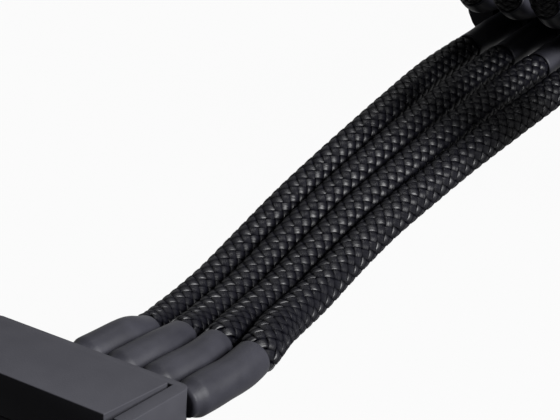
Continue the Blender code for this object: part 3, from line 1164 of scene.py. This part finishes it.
@dataclass(frozen=True)
class MouldedShell:
    """A moulded plastic part, whose edges get the small round that a mould gives them."""

    node: str
    name: str
    edge_radius: float
    merge_distance: float = 0.002 * MM
    flat_angle: float = math.radians(1.0)
    edge_angle: float = math.radians(30.0)
    segments: int = 3

    def build(self, material: bpy.types.Material) -> None:
        """Rounds the part's edges on a merged copy and dresses it.

        Args:
            material: The plastic's material.
        """
        shape = bmesh.new()
        shape.from_mesh(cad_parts[self.node].data)
        bmesh.ops.remove_doubles(shape, verts=shape.verts, dist=self.merge_distance)
        bmesh.ops.dissolve_limit(
            shape, angle_limit=self.flat_angle, verts=shape.verts, edges=shape.edges
        )
        mesh = bpy.data.meshes.new(f"{self.name}_plain")
        shape.to_mesh(mesh)
        shape.free()
        mesh.shade_smooth()
        plain = new_object(f"{self.name}_plain", mesh)
        edges = plain.modifiers.new("edges", "BEVEL")
        edges.limit_method = "ANGLE"
        edges.angle_limit = self.edge_angle
        edges.width = self.edge_radius
        edges.segments = self.segments
        edges.harden_normals = True
        graph = bpy.context.evaluated_depsgraph_get()
        rounded = bpy.data.meshes.new_from_object(plain.evaluated_get(graph))
        bpy.data.objects.remove(plain)
        dress(new_object(self.name, rounded), material, Slot.PLASTIC, self.node)


@dataclass(frozen=True)
class Connectors:
    """The plug and the two drive connectors: shells with rounded edges and plated contacts."""

    plug_edge: float = 0.35 * MM
    cap_edge: float = 0.30 * MM
    housing_edge: float = 0.18 * MM

    def build(self, plastic: bpy.types.Material, metal: bpy.types.Material) -> None:
        """Dresses the shells and the contacts.

        Args:
            plastic: Material of the shells.
            metal: Material of the pins and contacts.
        """
        MouldedShell("plug_housing", "plug_shell", self.plug_edge).build(plastic)
        for drive in ("drive_a", "drive_b"):
            MouldedShell(f"{drive}_cap", f"{drive}_lid", self.cap_edge).build(plastic)
            MouldedShell(f"{drive}_housing", f"{drive}_shell", self.housing_edge).build(plastic)
        for name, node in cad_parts.items():
            if "contact" in name or "pin" in name:
                node.data.materials.clear()
                node.data.materials.append(metal)


@dataclass(frozen=True)
class Lamp:
    """Square lamp with its direction from the object, its side and its power in watts."""

    name: str
    direction: tuple[float, float, float]
    size: float
    power: float


@dataclass(frozen=True)
class Studio:
    """White sweep, a strong lamp high on the right, two weak ones, and the photograph's view."""

    camera_place: tuple[float, float, float] = (88.715 * MM, -172.449 * MM, 87.83 * MM)
    camera_right: tuple[float, float, float] = (0.78355636, 0.61696097, -0.07347515)
    camera_up: tuple[float, float, float] = (-0.26676591, 0.44086332, 0.85701545)
    lens: float = 100.15
    sensor: float = 36.0
    nearest: float = 10 * MM
    floor_size: float = 6.0
    floor_tone: str = "#2a2a2a"
    backdrop_share: float = 0.96
    sky_strength: float = 0.02
    lamp_distance: float = 0.8
    aim: tuple[float, float, float] = (10 * MM, -50 * MM, 5 * MM)
    lamps: tuple[Lamp, ...] = (
        Lamp("right", (0.81, 0.20, 0.54), 0.30, 58.0),
        Lamp("back", (-0.10, 0.60, 0.80), 0.30, 5.0),
        Lamp("left", (-0.80, 0.10, 0.45), 0.30, 0.6),
    )

    def camera(self) -> None:
        """Places the camera as it stood for the photograph."""
        data = bpy.data.cameras.new("camera")
        data.lens = self.lens
        data.sensor_width = self.sensor
        data.clip_start = self.nearest
        camera = bpy.data.objects.new("camera", data)
        bpy.context.scene.collection.objects.link(camera)
        right = Vector(self.camera_right)
        up = Vector(self.camera_up)
        turn = Matrix((right, up, right.cross(up))).transposed().to_4x4()
        camera.matrix_world = Matrix.Translation(self.camera_place) @ turn
        bpy.context.scene.camera = camera

    def seen(self, tree: bpy.types.NodeTree) -> bpy.types.NodeSocket:
        """Adds the test for rays that show a background: to the camera, a gloss or a glass.

        Args:
            tree: The material's or world's tree.

        Returns:
            The socket that is 1 for such a ray.
        """
        path = add_node(tree, "ShaderNodeLightPath").outputs
        gloss = calculate(tree, "MAXIMUM", path["Is Camera Ray"], path["Is Glossy Ray"])
        return calculate(tree, "MAXIMUM", gloss, path["Is Transmission Ray"])

    def world(self) -> None:
        """Lights the object with a weak even sky, behind which the background shows white."""
        world = bpy.data.worlds.new("sky")
        world.use_nodes = True
        tree = world.node_tree
        tree.nodes.clear()
        light = add_node(
            tree, "ShaderNodeBackground", {"Color": WHITE, "Strength": self.sky_strength}
        )
        shown = add_node(tree, "ShaderNodeBackground", {"Color": WHITE, "Strength": 1.0})
        mixed = add_node(
            tree,
            "ShaderNodeMixShader",
            {0: self.seen(tree), 1: light.outputs[0], 2: shown.outputs[0]},
        )
        add_node(tree, "ShaderNodeOutputWorld", {"Surface": mixed.outputs[0]})
        bpy.context.scene.world = world

    def floor(self) -> None:
        """Lays a floor that looks white and keeps a faint shadow of the object."""
        half = self.floor_size / 2
        mesh = bpy.data.meshes.new("floor")
        square = [(-half, -half, 0), (half, -half, 0), (half, half, 0), (-half, half, 0)]
        mesh.from_pydata(square, [], [(0, 1, 2, 3)])
        floor = new_object("floor", mesh)
        material = new_material("white_sweep")
        tree = material.node_tree
        matt = add_node(tree, "ShaderNodeBsdfDiffuse", {"Color": colour(self.floor_tone)})
        glow = add_node(tree, "ShaderNodeEmission", {"Color": WHITE, "Strength": 1.0})
        share = calculate(tree, "MULTIPLY", self.seen(tree), self.backdrop_share)
        mixed = add_node(
            tree, "ShaderNodeMixShader", {0: share, 1: matt.outputs[0], 2: glow.outputs[0]}
        )
        add_node(tree, "ShaderNodeOutputMaterial", {"Surface": mixed.outputs[0]})
        mesh.materials.append(material)

    def hang(self, lamp: Lamp) -> None:
        """Hangs a lamp that faces the middle of the object.

        Args:
            lamp: The lamp.
        """
        data = bpy.data.lights.new(lamp.name, "AREA")
        data.shape = "SQUARE"
        data.size = lamp.size
        data.energy = lamp.power
        item = bpy.data.objects.new(lamp.name, data)
        bpy.context.scene.collection.objects.link(item)
        direction = Vector(lamp.direction).normalized()
        item.location = Vector(self.aim) + direction * self.lamp_distance
        item.rotation_euler = direction.to_track_quat("Z", "Y").to_euler()

    def build(self) -> None:
        """Sets up the view, the sweep and the lamps."""
        self.camera()
        self.world()
        self.floor()
        for lamp in self.lamps:
            self.hang(lamp)
        bpy.context.scene.view_settings.view_transform = "Standard"


def main() -> None:
    """Sets up the studio and builds the rows and the connectors."""
    logging.basicConfig(level=logging.INFO, format="%(message)s")
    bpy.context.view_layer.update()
    Studio().build()
    seat_a = DriveSeat(x=7.4 * MM, y=-102.1 * MM, yaw=math.radians(3.7))
    seat_b = DriveSeat(x=58.0 * MM, y=-35.4 * MM, yaw=math.radians(90.0))
    row_a = Row("row_a", RowRoute(ROUTE_A, plug_height=3.9 * MM, seat=seat_a))
    row_b = Row("row_b", RowRoute(ROUTE_B, plug_height=8.1 * MM, seat=seat_b))
    yarn = WovenNylon().material()
    film = ShrunkPolyolefin().material()
    tree = Braid().tree()
    row_a.build(tree, yarn, film, seed=10)
    row_b.build(tree, yarn, film, seed=20)
    Connectors().build(MouldedNylon().material(), TinnedBrass().material())


if __name__ == "__main__":
    main()
